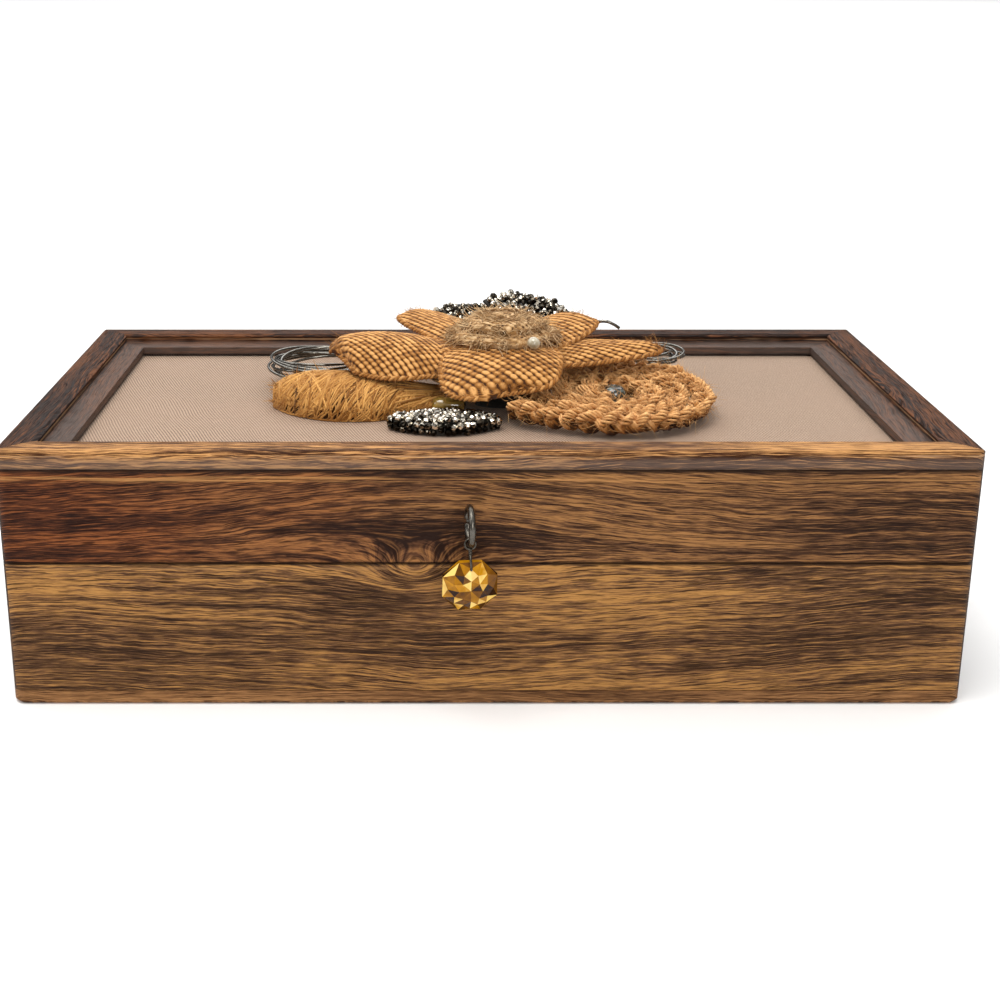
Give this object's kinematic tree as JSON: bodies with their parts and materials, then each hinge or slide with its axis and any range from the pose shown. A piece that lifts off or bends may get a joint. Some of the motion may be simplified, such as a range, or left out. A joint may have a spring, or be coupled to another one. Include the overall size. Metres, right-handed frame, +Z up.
{
  "type": "trinket box",
  "caption": "Low hinged wooden box with a moulded frame and linen panel on the lid, a jute flower with beads and wire, and a crystal on a wire loop as the pull.",
  "frame": {"origin": "middle of the bottom face", "axes": "+X to the right seen from the front, +Y to the back with the hinges, +Z up"},
  "size_m": [0.254, 0.1581, 0.0911],
  "materials": {
    "wood": "satin brown hardwood with dark open grain",
    "board": "plain thin board",
    "linen": "beige twill linen",
    "hinge_brass": "aged",
    "hinge_steel": "plain",
    "dark_steel": "tarnished",
    "amber_crystal": "faceted amber glass",
    "burlap": "golden woven jute",
    "frayed_burlap": "frayed jute",
    "felt": "felt",
    "jute": "braided jute",
    "silver_wire": "aged silver",
    "silver_bead": "silver lined",
    "dark_backing": "dark felt",
    "pearl": "pearl",
    "grey_glass": "grey green glass",
    "amber_glass": "brown amber glass"
  },
  "bodies": {
    "base": {"base_back_panel": "wood", "base_front_panel": "wood", "base_left_panel": "wood", "base_right_panel": "wood", "bottom_board": "wood", "hinge_base_screws": "hinge_steel", "hinge_left_base_leaf": "hinge_brass", "hinge_left_pin": "hinge_steel", "hinge_right_base_leaf": "hinge_brass", "hinge_right_pin": "hinge_steel"},
    "lid": {"amber_bead": "amber_glass", "bead_leaf_back_left_backing": "dark_backing", "bead_leaf_back_left_beads": "silver_bead", "bead_leaf_back_right_backing": "dark_backing", "bead_leaf_back_right_beads": "silver_bead", "bead_leaf_front_backing": "dark_backing", "bead_leaf_front_beads": "silver_bead", "centre_lower": "frayed_burlap", "centre_pearl": "pearl", "centre_upper": "frayed_burlap", "flower_hub": "felt", "frame_back_moulding": "wood", "frame_front_moulding": "wood", "frame_left_moulding": "wood", "frame_right_moulding": "wood", "hinge_left_lid_leaf": "hinge_brass", "hinge_lid_screws": "hinge_steel", "hinge_right_lid_leaf": "hinge_brass", "jute_rosette": "jute", "leaf_pad": "jute", "lid_back_rail": "wood", "lid_front_rail": "wood", "lid_left_rail": "wood", "lid_right_rail": "wood", "linen_cover": "linen", "panel_board": "board", "petal_back_left": "burlap", "petal_back_right": "burlap", "petal_front": "burlap", "petal_left": "burlap", "petal_right": "burlap", "rosette_bead": "grey_glass", "screw_eye": "dark_steel", "wire_spray_left": "silver_wire", "wire_spray_right": "silver_wire", "wire_tail": "silver_wire"},
    "link": {"wire_link": "dark_steel"},
    "crystal": {"crystal_drop": "amber_crystal"}
  },
  "joints": [
    {"name": "lid_hinge", "type": "hinge", "parent": "base", "child": "lid", "pos_m": [0, 0.0703, 0.0403], "axis": [-1, 0, 0], "range_deg": [0, 100]},
    {"name": "link_swing", "type": "hinge", "parent": "lid", "child": "link", "pos_m": [-0.005, -0.0801, 0.0533], "axis": [-0.9945, -0.1045, 0], "range_deg": [-9, 170]},
    {"name": "crystal_swing", "type": "hinge", "parent": "link", "child": "crystal", "pos_m": [-0.0049, -0.08106, 0.04284], "axis": [0.1029, -0.9794, -0.1736], "range_deg": [-20, 20]}
  ]
}
